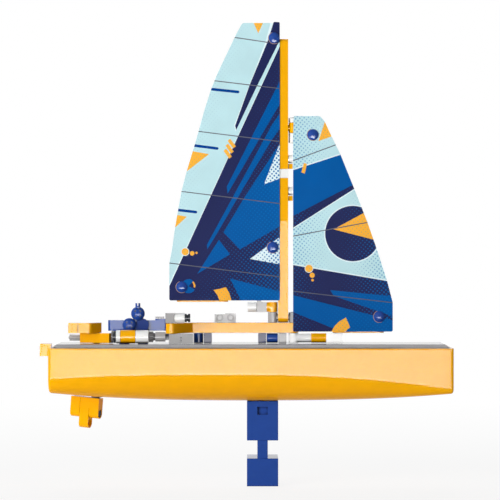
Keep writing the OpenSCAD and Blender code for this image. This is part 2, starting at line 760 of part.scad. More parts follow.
module main_boom() color(orange) difference() {
  translate([clew_x, 0, row_e]) straight_beam(boom_holes);
  translate([clew_x + pitch * (boom_holes - 1), 0, row_e])
    along_x() cylinder(d = boom_rod_d + 2 * fit, h = 2 * pitch, center = true);
}

// Block on a boom's last hole: a stud down into the boom and a hole for a round head
module clew_block(head_rise) {
  difference() {
    cube([beam, beam, low_h], center = true);
    translate([0, 0, head_rise]) along_y() cylinder(d = hole_d, h = beam + 1, center = true);
  }
  translate([0, 0, -low_h / 2 - stud_l]) cylinder(d = pin_d, h = stud_l + eps);
}
module main_clew_block() color(light_grey) translate([clew_x, 0, row_f]) clew_block(main_clew[1] - row_f);
module main_clew_head() color(blue)
  translate([main_clew[0], -film_y, main_clew[1]]) sail_head(film_y + 2);

// ---------- Jib ----------

jib_film_y = 6.2;
jib_luff_x = jib_x - 0.4;
jib_foot_z = row_b - beam / 2 + 1;
jib_head = [jib_x + 15, arm_z + 2.4];
jib_clew = [jib_luff_x + jib_foot - 10.5, row_c + 0.7];
jib_h = jib_head[1] - jib_foot_z + 14.5;
jib_leech = [[1, 0.01], [1, 0.133], [0.922, 0.241], [0.804, 0.427], [0.698, 0.578], [0.611, 0.671],
             [0.471, 0.819], [0.275, 1]];

module jib_sail() color(blue) difference() {
  translate([0, -jib_film_y + film / 2, 0]) along_y() linear_extrude(film)
    translate([jib_luff_x, jib_foot_z])
      polygon(concat([[0, 0]], [for (p = jib_leech) [p[0] * jib_foot, p[1] * jib_h]], [[0, jib_h]]));
  for (p = [jib_head, jib_clew])
    translate([p[0], -jib_film_y, p[1]]) along_y() cylinder(d = hole_d, h = 2, center = true);
}

// Hub on the jib's axle with a round arm forward
hub_h = low_h - gap;
module pivot_hub(reach) difference() {
  union() {
    cylinder(d = tube_d, h = hub_h, center = true);
    along_x() cylinder(d = tube_d - 0.6, h = reach);
  }
  cylinder(d = hole_d, h = beam + 1, center = true);
}
hub_z = row_a + skin;
hub_reach = 13.6;
coupler_l = 11.6;
module jib_hub() color(white) translate([jib_x, 0, hub_z]) pivot_hub(hub_reach);
module jib_head_arm() color(mid_grey) {
  translate([jib_x, 0, arm_z]) pivot_hub(jib_head[0] - beam / 2 - jib_x + skin);
  translate([jib_head[0], 0, jib_head[1]]) block_y([beam, beam, beam]);
}
module jib_coupler() color(orange)
  translate([jib_x + hub_reach + skin, 0, hub_z]) along_x() cylinder(d = tube_d, h = coupler_l);

boom_start = jib_clew[0] - pitch * (boom_holes - 1);
// Block between the coupler and the boom, with a stud up into the boom's first hole
module jib_riser() color(light_grey) {
  riser_from = jib_x + hub_reach + coupler_l + 2 * skin;
  translate([riser_from, -beam / 2, hub_z - hub_h / 2])
    cube([boom_start + beam / 2 - riser_from, beam, hub_h]);
  translate([boom_start, 0, hub_z]) cylinder(d = pin_d, h = hub_h / 2 + stud_l);
}
module jib_boom() color(orange) translate([boom_start, 0, row_b]) straight_beam(boom_holes);
module jib_clew_block() color(light_grey) translate([jib_clew[0], 0, row_c]) clew_block(jib_clew[1] - row_c);
module jib_heads() color(blue)
  for (p = [jib_head, jib_clew]) translate([p[0], -jib_film_y, p[1]]) sail_head(jib_film_y + 2);

// ---------- The object ----------

hull_shell();
deck();
transom_block();
rudder_tube();
keel_socket();
keel_upper();
keel_stem();
keel_foot();
keel_ballast();
keel_dowels();
chassis_beam();
mast_lower();
mast_splice();
mast_upper();
mast_connectors();
mast_stops();
mast_clips();
fixed_axles();
jib_bracket();
luff_brackets();
luff_heads();
main_luff_strip();
twin_hole_block();
arm_block();
arm_tube();
support_fore();
support_tubes();
support_blocks();
sheet_blocks();
shaft_tube();
deck_beam();
deck_beam_cap();
fixed_roller();
shaft_bevel();
shaft_spacers();
shaft_drum();
shaft_axle();
knob_low();
knob_high();
rudder_stock();
rudder_blades();
rudder_pin();
tiller();
tiller_axle();
tiller_block();
boom_hub();
boom_riser();
boom_bush();
main_boom();
main_clew_block();
main_clew_head();
main_sail();
jib_hub();
jib_coupler();
jib_riser();
jib_boom();
jib_clew_block();
jib_head_arm();
jib_heads();
jib_sail();
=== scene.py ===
"""Looks of the model yacht: moulded plastics on the CAD pieces, and two printed film sails."""

import json
import math

import bmesh
import bpy
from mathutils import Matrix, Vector
from mathutils.geometry import delaunay_2d_cdt


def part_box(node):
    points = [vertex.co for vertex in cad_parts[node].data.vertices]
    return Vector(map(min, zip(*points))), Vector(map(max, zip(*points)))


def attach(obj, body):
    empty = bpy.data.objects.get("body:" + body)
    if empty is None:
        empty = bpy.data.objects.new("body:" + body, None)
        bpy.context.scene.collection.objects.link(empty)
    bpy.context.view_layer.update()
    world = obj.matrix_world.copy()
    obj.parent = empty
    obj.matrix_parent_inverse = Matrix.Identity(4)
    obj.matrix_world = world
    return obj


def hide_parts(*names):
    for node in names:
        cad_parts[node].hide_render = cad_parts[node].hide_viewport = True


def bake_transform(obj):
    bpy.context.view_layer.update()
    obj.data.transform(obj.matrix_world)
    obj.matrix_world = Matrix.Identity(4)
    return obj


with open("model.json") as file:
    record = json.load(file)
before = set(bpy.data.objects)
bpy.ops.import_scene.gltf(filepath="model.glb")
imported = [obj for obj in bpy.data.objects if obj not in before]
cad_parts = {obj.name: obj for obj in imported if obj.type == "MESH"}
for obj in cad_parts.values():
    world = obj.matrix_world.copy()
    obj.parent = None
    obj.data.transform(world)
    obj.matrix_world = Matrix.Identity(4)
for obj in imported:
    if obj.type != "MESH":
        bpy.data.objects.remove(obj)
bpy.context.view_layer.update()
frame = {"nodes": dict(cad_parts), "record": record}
record = frame["record"]
nodes = frame["nodes"]
MM = 0.001


# ---------------------------------------------------------------- colours and node graphs


def linear(red, green, blue):
    """A colour written as 0-255 screen values, as scene-linear RGBA."""

    def one(c):
        c /= 255
        return c / 12.92 if c <= 0.04045 else ((c + 0.055) / 1.055) ** 2.4

    return (one(red), one(green), one(blue), 1.0)


def scaled(colour, factor):
    return tuple(min(1.0, c * factor) for c in colour[:3]) + (1.0,)


class Graph:
    """A material's node tree, with short ways to add the nodes used here."""

    def __init__(self, name, shader="ShaderNodeBsdfPrincipled"):
        self.material = bpy.data.materials.new(name)
        self.material.use_nodes = True
        self.tree = self.material.node_tree
        self.tree.nodes.clear()
        self.out = self.tree.nodes.new("ShaderNodeOutputMaterial")
        self.shader = self.tree.nodes.new(shader)
        self.link(self.shader.outputs[0], self.out.inputs[0])

    def link(self, a, b):
        self.tree.links.new(a, b)

    def put(self, socket, value):
        """Sets a socket to a constant, or links it to another socket."""
        if isinstance(value, bpy.types.NodeSocket):
            self.link(value, socket)
        else:
            socket.default_value = value

    def coords(self, kind="Object"):
        return self.tree.nodes.new("ShaderNodeTexCoord").outputs[kind]

    def mapping(self, vector, scale=(1, 1, 1), rotation=(0, 0, 0)):
        node = self.tree.nodes.new("ShaderNodeMapping")
        self.link(vector, node.inputs["Vector"])
        node.inputs["Scale"].default_value = scale
        node.inputs["Rotation"].default_value = rotation
        return node.outputs[0]

    def noise(self, vector, scale, detail=2.0, rough=0.5):
        node = self.tree.nodes.new("ShaderNodeTexNoise")
        self.link(vector, node.inputs["Vector"])
        node.inputs["Scale"].default_value = scale
        node.inputs["Detail"].default_value = detail
        node.inputs["Roughness"].default_value = rough
        return node.outputs["Fac"]

    def math(self, operation, a, b=0.0, c=None, clamp=False):
        node = self.tree.nodes.new("ShaderNodeMath")
        node.operation = operation
        node.use_clamp = clamp
        self.put(node.inputs[0], a)
        self.put(node.inputs[1], b)
        if c is not None:
            self.put(node.inputs[2], c)
        return node.outputs[0]

    def vector(self, operation, a, b=(0, 0, 0)):
        node = self.tree.nodes.new("ShaderNodeVectorMath")
        node.operation = operation
        self.put(node.inputs[0], a)
        self.put(node.inputs[1], b)
        return node.outputs["Value" if operation in ("LENGTH", "DOT_PRODUCT") else "Vector"]

    def spread(self, value, low, high, to_low, to_high):
        node = self.tree.nodes.new("ShaderNodeMapRange")
        self.put(node.inputs["Value"], value)
        for key, number in (("From Min", low), ("From Max", high), ("To Min", to_low), ("To Max", to_high)):
            node.inputs[key].default_value = number
        return node.outputs["Result"]

    def mix(self, factor, a, b):
        node = self.tree.nodes.new("ShaderNodeMix")
        node.data_type = "RGBA"
        self.put(node.inputs["Factor"], factor)
        self.put(node.inputs["A"], a)
        self.put(node.inputs["B"], b)
        return node.outputs["Result"]

    def bump(self, height, strength, distance, normal=None):
        node = self.tree.nodes.new("ShaderNodeBump")
        node.inputs["Strength"].default_value = strength
        node.inputs["Distance"].default_value = distance
        self.link(height, node.inputs["Height"])
        if normal is not None:
            self.link(normal, node.inputs["Normal"])
        return node.outputs[0]


# Painted shade: narrow gaps between pieces are darkened in the colour; how near the next face is in metres,
# and the share of colour left there
GAP_SHADE_REACH = 0.003
GAP_SHADE_COLOUR = 0.12


def plastic(name, colour, rough=0.035, gloss=0.08, variation=0.04, grain=0.02, scuffs=0.1, wavy=0.03):
    """Moulded plastic: slow colour drift, faint flow lines, fine grain, a few dull scuffs, and painted
    shade that darkens the colour in narrow gaps between pieces.
    """
    g = Graph(name)
    where = g.coords()
    cloud = g.noise(where, 90, 3.0)
    flow = g.noise(g.mapping(where, (14, 60, 60)), 6, 2.0)
    tone = g.math("MULTIPLY_ADD", flow, 0.4, g.math("MULTIPLY", cloud, 0.6))
    paler, deeper = scaled(colour, 1 + variation), scaled(colour, 1 - variation)
    base = g.mix(g.spread(tone, 0.3, 0.7, 0.0, 1.0), deeper, paler)
    # Painted shade: the colour goes dark where another face is near, as in the gaps between pieces
    gap_shade_ao = g.tree.nodes.new("ShaderNodeAmbientOcclusion")
    gap_shade_ao.samples = 8
    gap_shade_ao.inputs["Distance"].default_value = GAP_SHADE_REACH
    unshaded_share = g.spread(gap_shade_ao.outputs["AO"], 0.25, 0.75, 0.0, 1.0)
    g.put(g.shader.inputs["Base Color"], g.mix(unshaded_share, scaled(colour, GAP_SHADE_COLOUR), base))
    marks = g.noise(g.mapping(where, (250, 900, 250), (0.3, 0.2, 0.5)), 1.0, 4.0, 0.65)
    dull = g.spread(marks, 0.66, 0.78, 0.0, scuffs)
    even = g.spread(cloud, 0.3, 0.7, rough * 0.8, rough * 1.3)
    g.put(g.shader.inputs["Roughness"], g.math("ADD", dull, even, clamp=True))
    g.shader.inputs["Specular IOR Level"].default_value = gloss
    fine = g.noise(where, 2600, 2.0)
    wave = g.noise(where, 45, 1.0)
    normal = g.bump(fine, grain, 0.00005)
    g.put(g.shader.inputs["Normal"], g.bump(wave, wavy, 0.0003, normal))
    return g.material


def cast_steel(name):
    """Sawn and lightly rusted bar."""
    g = Graph(name)
    where = g.coords()
    patch = g.noise(where, 150, 5.0, 0.6)
    g.put(
        g.shader.inputs["Base Color"],
        g.mix(g.spread(patch, 0.45, 0.7, 0, 1), linear(150, 152, 156), linear(104, 84, 70)),
    )
    g.shader.inputs["Metallic"].default_value = 1.0
    g.put(g.shader.inputs["Roughness"], g.spread(patch, 0.3, 0.7, 0.35, 0.6))
    lines = g.noise(g.mapping(where, (40, 2500, 40)), 1.0, 2.0)
    g.put(g.shader.inputs["Normal"], g.bump(lines, 0.15, 0.0002))
    return g.material


# Halftone dots: their pitch in mm, the angle of their rows, and how crisp their edge is
DOT_PITCH = 2.35
DOT_ANGLE = math.radians(38)
DOT_SHARPNESS = 14.0
# Length of film in mm that spans one unit of its UV map
UV_MM = 100.0


def printed(name, colour, dot=None, size=(0.0, 0.0), toward=(1, 0), start=0.0, end=1.0, mirrored=False):
    """Printed film. Halftone dots of a second colour grow from size[0] to size[1] of their pitch
    while the place along toward (x, z) goes from start to end mm; mirrored grows them both ways."""
    g = Graph(name)
    uv = g.coords("UV")
    drift = g.noise(uv, 6, 2.0)
    base = g.mix(g.spread(drift, 0.3, 0.7, 0, 1), scaled(colour, 0.97), scaled(colour, 1.03))
    if dot is not None:
        cells = g.mapping(uv, (UV_MM / DOT_PITCH, UV_MM / DOT_PITCH, 1), (0, 0, DOT_ANGLE))
        offset = g.vector("SUBTRACT", g.vector("FRACTION", cells), (0.5, 0.5, 0.0))
        distance = g.vector("LENGTH", offset)
        along = g.vector("DOT_PRODUCT", uv, (toward[0] * UV_MM, toward[1] * UV_MM, 0))
        if mirrored:
            along = g.math("ABSOLUTE", g.math("SUBTRACT", along, start))
            radius = g.spread(along, 0, end - start, size[0], size[1])
        else:
            radius = g.spread(along, start, end, size[0], size[1])
        mask = g.math("MULTIPLY", g.math("SUBTRACT", radius, distance), DOT_SHARPNESS)
        mask = g.math("ADD", mask, 0.5, clamp=True)
        base = g.mix(mask, base, dot)
    g.put(g.shader.inputs["Base Color"], base)
    g.shader.inputs["IOR"].default_value = 1.4
    g.shader.inputs["Specular IOR Level"].default_value = 0.005
    g.put(g.shader.inputs["Roughness"], g.spread(g.noise(uv, 30, 3.0), 0.3, 0.7, 0.42, 0.56))
    fine = g.noise(uv, 260, 2.0)
    g.put(g.shader.inputs["Normal"], g.bump(fine, 0.06, 0.00005))
    return g.material


# ---------------------------------------------------------------- materials

ORANGE = linear(250, 177, 0)
BLUE = linear(36, 72, 152)
CYAN = linear(192, 228, 234)
FILM_BLUE = linear(0, 88, 162)
FILM_NAVY = linear(36, 42, 86)
FILM_ORANGE = linear(254, 182, 62)
FILM_LIGHT = linear(226, 244, 248)

slot_material = {
    "orange_plastic": plastic("orange_plastic", ORANGE),
    "blue_plastic": plastic("blue_plastic", BLUE),
    "navy_plastic": plastic("navy_plastic", linear(38, 42, 84)),
    "deck_plastic": plastic("deck_plastic", linear(118, 115, 117), wavy=0.0),
    "mid_grey_plastic": plastic("mid_grey_plastic", linear(112, 110, 110), rough=0.1),
    "light_grey_plastic": plastic("light_grey_plastic", linear(170, 168, 168), rough=0.08),
    "dark_plastic": plastic("dark_plastic", linear(52, 54, 60), rough=0.16),
    "white_plastic": plastic("white_plastic", linear(244, 244, 242), variation=0.01),
    "ballast_steel": cast_steel("ballast_steel"),
}
roller_plastic = plastic("roller_plastic", linear(36, 58, 122), rough=0.6, gloss=0.02)

film = {
    "cyan": printed("main_print_cyan", CYAN, linear(174, 210, 222), (0.0, 0.3), (-1, 0.3), 108, 150),
    "navy": printed("main_print_navy", FILM_NAVY, linear(0, 92, 164), (0.0, 0.34), (1, -0.35), -115, -48),
    "blue": printed("main_print_blue", FILM_BLUE, linear(0, 106, 180), (0.12, 0.3), (1, -0.3), -95, -45),
    "orange": printed("print_orange", FILM_ORANGE, linear(206, 170, 104), (0.16, 0.2), (1, 0), -60, 90),
    "light": printed("print_light", FILM_LIGHT),
    "dotted": printed("print_light_dotted", FILM_LIGHT, linear(54, 124, 184), (0.12, 0.34), (1, 0), -8, 13),
    "seam": printed("print_seam", linear(96, 98, 110)),
    "ring": printed("print_ring", linear(170, 142, 124)),
    "blue_ink": printed("print_blue_ink", linear(0, 62, 142)),
    "jib_cyan": printed(
        "jib_print_cyan", CYAN, linear(128, 178, 210), (0.0, 0.32), (1, 0), 60, 96, mirrored=True
    ),
    "jib_navy": printed(
        "jib_print_navy", FILM_NAVY, linear(0, 92, 164), (0.0, 0.34), (1, 0), 52, 100, mirrored=True
    ),
    "jib_blue": printed("jib_print_blue", FILM_BLUE, linear(0, 102, 176), (0.0, 0.26), (1, -0.6), -80, 10),
}


# ---------------------------------------------------------------- CAD pieces

SOFT_EDGE = 0.28 * MM
ROUNDED_LESS = {"deck": 0.2 * MM, "keel_ballast": 0.2 * MM}
DOMED = ("luff_heads", "main_clew_head", "jib_heads", "knob_low", "knob_high")


def dress(node, obj, slot):
    """Gives a CAD node its slot's material, softly rounded edges and smooth shading."""
    if not obj.data.materials:
        obj.data.materials.append(slot_material[slot])
    for place in obj.material_slots:
        place.material = roller_plastic if node == "fixed_roller" else slot_material[slot]
    for face in obj.data.polygons:
        face.use_smooth = True
    weld = obj.modifiers.new("weld", "WELD")
    weld.merge_threshold = 0.002 * MM
    bevel = obj.modifiers.new("soft_edges", "BEVEL")
    bevel.width = ROUNDED_LESS.get(node, SOFT_EDGE)
    bevel.segments = 2
    bevel.limit_method = "ANGLE"
    bevel.angle_limit = math.radians(38)
    bevel.use_clamp_overlap = True
    if node in DOMED:
        return
    shade = obj.modifiers.new("shading", "WEIGHTED_NORMAL")
    shade.keep_sharp = False
    shade.weight = 100


SAIL_NODES = ("main_sail", "main_luff_strip", "jib_sail")
for part in record["subparts"]:
    if part["node"] not in SAIL_NODES:
        dress(part["node"], nodes[part["node"]], part["material_slot"])


# ---------------------------------------------------------------- hull

# All in mm: the wall, how much narrower each side is at the ends, how far the bottom rises there,
# and the bilge radius amidships
WALL = 1.8
NARROWER = 3.0
ROCKER = 6.2
BILGE = 22.0
# How much smaller the bilge radius is at the bow and the transom, and how sharply that comes
BILGE_LESS = {1: (19.0, 2.2), -1: (10.8, 3.0)}
CORNER_R = 2.0
RIM_R = 0.4
BILGE_STEPS = 14
CORNER_STEPS = 5
STATIONS = 44
# Height in mm over which a rounded corner runs out into the bottom
CORNER_FADE = 12


def hull_profile(u, inset, rim_side):
    """Cross-section (y, z) in mm of one skin, from one rim round the bottom to the other. u goes
    from -1 at the transom to 1 at the bow; rim_side is 1 for the outer skin and -1 for the inner."""
    low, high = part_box("hull_shell")
    top = high.z / MM
    half = high.y / MM - NARROWER * abs(u) ** 3 - inset
    bottom = low.z / MM + ROCKER * abs(u) ** 2.6 + inset
    less, power = BILGE_LESS[1 if u > 0 else -1]
    radius = max(BILGE - less * abs(u) ** power - inset, 1.0)
    side = [(half - rim_side * RIM_R, top), (half - rim_side * RIM_R * 0.3, top - RIM_R * 0.3)]
    wall_low = bottom + radius
    side += [(half, z) for z in (top - RIM_R, top - 0.9, (top + wall_low) / 2, wall_low + 0.8)]
    arc = [math.pi / 2 * k / BILGE_STEPS for k in range(BILGE_STEPS + 1)]
    side += [(half - radius + radius * math.cos(a), wall_low - radius * math.sin(a)) for a in arc]
    side += [((half - radius) * k / 3, bottom) for k in (2, 1)]
    return side + [(0.0, bottom)] + [(-y, z) for y, z in reversed(side)]


def cut(obj, cutters):
    """Cuts solids out of an object and keeps the result as its mesh."""
    for cutter in cutters:
        tool = obj.modifiers.new("cut", "BOOLEAN")
        tool.operation = "DIFFERENCE"
        tool.solver = "EXACT"
        tool.object = cutter
    bpy.context.view_layer.update()
    shape = bpy.data.meshes.new_from_object(obj.evaluated_get(bpy.context.evaluated_depsgraph_get()))
    obj.modifiers.clear()
    obj.data = shape
    for cutter in cutters:
        bpy.data.objects.remove(cutter)


def solid_bar(points, along, length):
    """A prism on a closed outline, from its plane for a length (mm) along a direction."""
    count = len(points)
    ends = [Vector(p) for p in points] + [Vector(p) + Vector(along) * length for p in points]
    faces = [tuple(range(count)), tuple(reversed(range(count, 2 * count)))]
    faces += [(k, k + count, (k + 1) % count + count, (k + 1) % count) for k in range(count)]
    mesh = bpy.data.meshes.new("cutter")
    mesh.from_pydata([p * MM for p in ends], [], faces)
    mesh.update()
    shape = bmesh.new()
    shape.from_mesh(mesh)
    bmesh.ops.recalc_face_normals(shape, faces=shape.faces)
    shape.to_mesh(mesh)
    shape.free()
    obj = bpy.data.objects.new("cutter", mesh)
    bpy.context.scene.collection.objects.link(obj)
    return obj


def make_hull():
    """The hull as two smooth skins joined by a rounded rim, with its slot and holes."""
    low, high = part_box("hull_shell")
    start, length = low.x / MM, (high.x - low.x) / MM
    arc = [math.pi / 2 * k / CORNER_STEPS for k in range(CORNER_STEPS + 1)]
    ends = [(CORNER_R * (1 - math.cos(a)), CORNER_R * (1 - math.sin(a))) for a in arc]
    between = [CORNER_R + (length - 2 * CORNER_R) * k / STATIONS for k in range(1, STATIONS)]
    places = ends + [(x, 0.0) for x in between] + [(length - x, d) for x, d in reversed(ends)]
    points, rings = [], []
    for inset, rim_side in ((0.0, 1), (WALL, -1)):
        skin = []
        for x, corner in places:
            profile = hull_profile(2 * x / length - 1, inset, rim_side)
            inner_x = start + inset + x * (length - 2 * inset) / length
            low_side = profile[len(profile) // 2][1]
            ring = []
            for y, z in profile:
                y -= math.copysign(min(corner, abs(y) / 2), y) if y else 0.0
                z += corner * max(0.0, 1 - (z - low_side) / CORNER_FADE) if corner else 0.0
                ring.append(len(points))
                points.append(Vector((inner_x, y, z)) * MM)
            skin.append(ring)
        rings.append(skin)
    faces = []
    outer, inner = rings
    count = len(outer[0])
    for a, b in zip(outer, outer[1:]):
        faces += [(a[k], a[k + 1], b[k + 1], b[k]) for k in range(count - 1)]
    for a, b in zip(inner, inner[1:]):
        faces += [(b[k], b[k + 1], a[k + 1], a[k]) for k in range(count - 1)]
    for a, b, c, d in zip(outer, outer[1:], inner, inner[1:]):
        faces += [(b[0], d[0], c[0], a[0]), (a[-1], c[-1], d[-1], b[-1])]
    for ring, turned in ((outer[0], False), (outer[-1], True), (inner[0], True), (inner[-1], False)):
        for k in range(count // 2):
            loop = tuple(dict.fromkeys((ring[k], ring[-1 - k], ring[-2 - k], ring[k + 1])))
            faces.append(tuple(reversed(loop)) if turned else loop)
    for a, b, turned in ((outer[0], inner[0], True), (outer[-1], inner[-1], False)):
        loop = (a[0], a[-1], b[-1], b[0])
        faces.append(tuple(reversed(loop)) if turned else loop)
    mesh = bpy.data.meshes.new("hull_skin")
    mesh.from_pydata(points, [], faces)
    shape = bmesh.new()
    shape.from_mesh(mesh)
    bmesh.ops.recalc_face_normals(shape, faces=shape.faces)
    shape.to_mesh(mesh)
    shape.free()
    hull = bpy.data.objects.new("hull_skin", mesh)
    bpy.context.scene.collection.objects.link(hull)

    slot_l, slot_w = 4.1, 12.1
    bottom, bore = low.z / MM - 2, 4.15
    tube_low, tube_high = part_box("rudder_tube")
    tube_x = (tube_low.x + tube_high.x) / 2 / MM
    stud_z, stud_r, stud_y = high.z / MM - 4.8, 2.45, 4.0
    turn = [2 * math.pi * k / 40 for k in range(40)]
    corners = ((-1, -1), (1, -1), (1, 1), (-1, 1))
    slot = [(i * slot_l, j * slot_w, bottom) for i, j in corners]
    cutters = [solid_bar(slot, (0, 0, 1), 14)]
    ring = [(tube_x + bore * math.cos(a), bore * math.sin(a), bottom) for a in turn]
    cutters.append(solid_bar(ring, (0, 0, 1), 20))
    for side in (-1, 1):
        across, up = side * stud_y, stud_z
        ring = [(start - 2, across + stud_r * math.cos(a), up + stud_r * math.sin(a)) for a in turn]
        cutters.append(solid_bar(ring, (1, 0, 0), 6))
    cut(hull, cutters)
    for face in hull.data.polygons:
        face.use_smooth = True
    hull.data.set_sharp_from_angle(angle=math.radians(40))
    hull.data.materials.clear()
    hull.data.materials.append(slot_material["orange_plastic"])
    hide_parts("hull_shell")
    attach(hull, "root")


make_hull()


# ---------------------------------------------------------------- sails


def rounded(points, radii):
    """Replaces each corner that has a radius with a short arc."""
    out = []
    for i, corner in enumerate(points):
        radius = radii.get(i, 0.0)
        here = Vector(corner)
        if radius == 0:
            out.append(here)
            continue
        before = (Vector(points[i - 1]) - here).normalized()
        after = (Vector(points[(i + 1) % len(points)]) - here).normalized()
        start, end = here + before * radius, here + after * radius
        for k in range(5):
            t = k / 4
            out.append(start * (1 - t) ** 2 + here * 2 * t * (1 - t) + end * t**2)
    return out


def disc(x, z, radius, count=28):
    return [
        (x + radius * math.cos(2 * math.pi * k / count), z + radius * math.sin(2 * math.pi * k / count))
        for k in range(count)
    ]


def sector(x, z, inner, outer, start, end, count=8):
    """Ring sector between two angles in degrees; inner may be 0."""
    angles = [math.radians(start + (end - start) * k / count) for k in range(count + 1)]
    rim = [(x + outer * math.cos(a), z + outer * math.sin(a)) for a in angles]
    if inner == 0:
        return rim + [(x, z)]
    return rim + [(x + inner * math.cos(a), z + inner * math.sin(a)) for a in reversed(angles)]


def bar(start, end, width, round_ends=True):
    """A straight bar between two points."""
    a, b = Vector(start), Vector(end)
    along = (b - a).normalized()
    side = Vector((-along.y, along.x)) * width / 2
    if not round_ends:
        return [a + side, b + side, b - side, a - side]
    points = []
    for centre, turn in ((a, math.pi / 2), (b, -math.pi / 2)):
        for k in range(7):
            angle = turn + math.pi * k / 6
            spoke = along * math.cos(angle) + Vector((-along.y, along.x)) * math.sin(angle)
            points.append(centre + spoke * width / 2)
    return points


def distance_to(point, a, b):
    """Distance from a point to a segment, all in the film's plane."""
    a, b, p = Vector(a), Vector(b), Vector(point)
    run = b - a
    t = max(0.0, min(1.0, (p - a).dot(run) / run.length_squared))
    return (p - a - run * t).length


def signed_area(points):
    return sum(a[0] * b[1] - b[0] * a[1] for a, b in zip(points, points[1:] + points[:1])) / 2


# All in mm: the seams' width and thickness, how near a point is to count as on a seam, the spacing
# of the film's inner points, and how far round a head the film is held flat
SEAM_W = 0.74
SEAM_RISE = 0.12
ON_SEAM = 0.05
GRID = 4.0
HEAD_HOLD = 30


def make_sail(name, outline, paint, seams, heads, plane_y, thickness, belly, fine_columns=()):
    """One sheet of film in the XZ plane. Each painted shape is cut into the mesh, and the last one
    that covers a place gives its colour. Points stand in columns, closer at the fine columns given.
    All lengths are in mm."""
    points, faces, inks = [], [], []

    def add(shape):
        """Adds a shape's corners, turned anticlockwise as the cutter needs them."""
        first = len(points)
        shape = [Vector(p) for p in shape]
        if signed_area(shape) < 0:
            shape.reverse()
        points.extend(shape)
        faces.append(list(range(first, len(points))))

    add(outline)
    inks.append(None)
    for ink, shape in paint:
        add(shape)
        inks.append(ink)
    for a, b in seams:
        direction = (Vector(b) - Vector(a)).normalized()
        for side in (-1, 1):
            off = Vector((-direction.y, direction.x)) * side * SEAM_W / 2
            add([Vector(a), Vector(b), Vector(b) + off, Vector(a) + off])
            inks.append("seam")
    xs, zs = [p[0] for p in outline], [p[1] for p in outline]
    low_x, high_x, low_z, high_z = min(xs), max(xs), min(zs), max(zs)
    columns = [low_x + GRID * i for i in range(1, int((high_x - low_x) / GRID) + 1)]
    columns = [x for x in columns if all(abs(x - f) > 1.5 for f in fine_columns)]
    columns = sorted(columns + list(fine_columns))
    for i, x in enumerate(columns):
        for j in range(1, int((high_z - low_z) / GRID) + 1):
            points.append(Vector((x, low_z + GRID * (j - 0.5 * (i % 2)))))
    verts, _, tris, _, _, inside = delaunay_2d_cdt(points, [], faces, 1, 1e-4)
    kept = [(t, max(ids)) for t, ids in zip(tris, inside) if 0 in ids]

    width = high_x - low_x
    height = high_z - low_z

    def push(x, z):
        """How far the film stands off its plane, towards the viewer's side."""
        across = max(0.0, min(1.0, (x - low_x) / width))
        up = max(0.0, min(1.0, (z - low_z) / height))
        bulge = belly * math.sin(math.pi * across) * math.sin(math.pi * up) ** 0.6
        for head in heads:
            bulge *= 1 - math.exp(-(((x - head[0]) ** 2 + (z - head[1]) ** 2) / HEAD_HOLD**2))
        return bulge

    used = sorted({i for t, _ in kept for i in t})
    new_index = {old: new for new, old in enumerate(used)}
    flat = [verts[i] for i in used]
    stand = [push(p[0], p[1]) for p in flat]
    rise = [SEAM_RISE if any(distance_to(p, a, b) < ON_SEAM for a, b in seams) else 0.0 for p in flat]
    front = [(p[0], plane_y - thickness / 2 - s - r, p[1]) for p, s, r in zip(flat, stand, rise)]
    back = [(p[0], plane_y + thickness / 2 - s + r * 0.5, p[1]) for p, s, r in zip(flat, stand, rise)]
    count = len(flat)
    names = sorted(set(inks[1:]))
    mesh_faces, face_ink, open_edges = [], [], {}
    for tri, top in kept:
        a, b, c = (new_index[i] for i in tri)
        turn = (flat[b] - flat[a]).cross(flat[c] - flat[a])
        if turn < 0:
            b, c = c, b
        ink = names.index(inks[top])
        mesh_faces += [(a, b, c), (count + a, count + c, count + b)]
        face_ink += [ink, ink]
        for edge in ((a, b), (b, c), (c, a)):
            if edge[::-1] in open_edges:
                del open_edges[edge[::-1]]
            else:
                open_edges[edge] = ink
    for (a, b), ink in open_edges.items():
        mesh_faces.append((b, a, count + a, count + b))
        face_ink.append(ink)
    mesh = bpy.data.meshes.new(name)
    mesh.from_pydata([Vector(p) * MM for p in front + back], [], mesh_faces)
    for ink in names:
        mesh.materials.append(film[ink])
    mesh.polygons.foreach_set("material_index", face_ink)
    layer = mesh.uv_layers.new(name="print")
    for loop in mesh.loops:
        p = flat[loop.vertex_index % count]
        layer.data[loop.index].uv = (p[0] / UV_MM, p[1] / UV_MM)
    mesh.update()
    obj = bpy.data.objects.new(name, mesh)
    bpy.context.scene.collection.objects.link(obj)
    return obj, (width * MM, height * MM), abs(signed_area(outline)) * MM * MM


